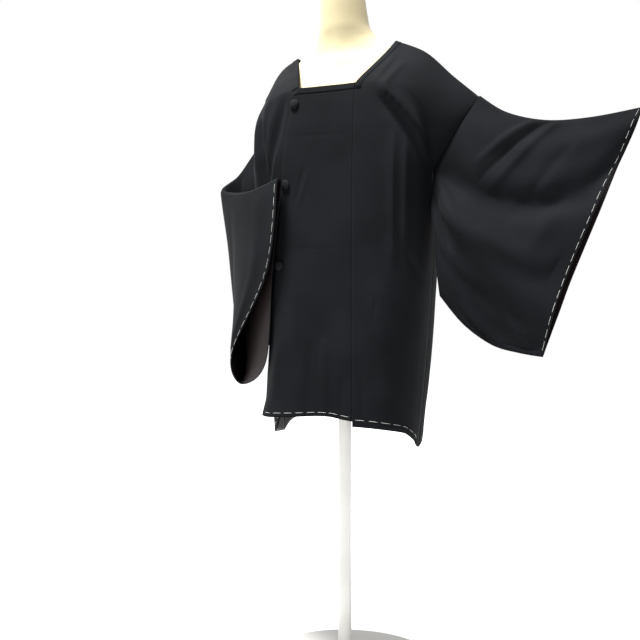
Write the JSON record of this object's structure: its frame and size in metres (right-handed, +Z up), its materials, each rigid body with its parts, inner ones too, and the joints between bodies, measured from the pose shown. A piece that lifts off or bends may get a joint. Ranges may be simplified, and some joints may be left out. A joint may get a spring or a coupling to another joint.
{
  "type": "michiyuki coat on a dress form",
  "caption": "Black crepe coat with a square neckline, a crossed buttoned front and wide hanging sleeves, worn by a limbless dress form on a pole stand.",
  "frame": {"origin": "centre of the stand plate's underside, on the floor", "axes": "+Z up, -Y towards the coat's front, +X towards the wearer's left"},
  "size_m": [0.8913, 0.4, 1.45],
  "materials": {
    "crepe": "matte black crepe with a very fine rib",
    "button_cloth": "matte, covered with the same crepe",
    "jersey": "smooth cream cover",
    "stand_paint": "satin off-white"
  },
  "bodies": {
    "root": {"body_left": "crepe", "body_right": "crepe", "overlap_left": "crepe", "overlap_right": "crepe", "collar_left": "crepe", "collar_right": "crepe", "collar_front": "crepe", "button_1": "button_cloth", "button_2": "button_cloth", "button_3": "button_cloth", "sleeve_left": "crepe", "sleeve_right": "crepe", "form_torso": "jersey", "stand_pole": "stand_paint", "stand_plate": "stand_paint"}
  },
  "joints": []
}
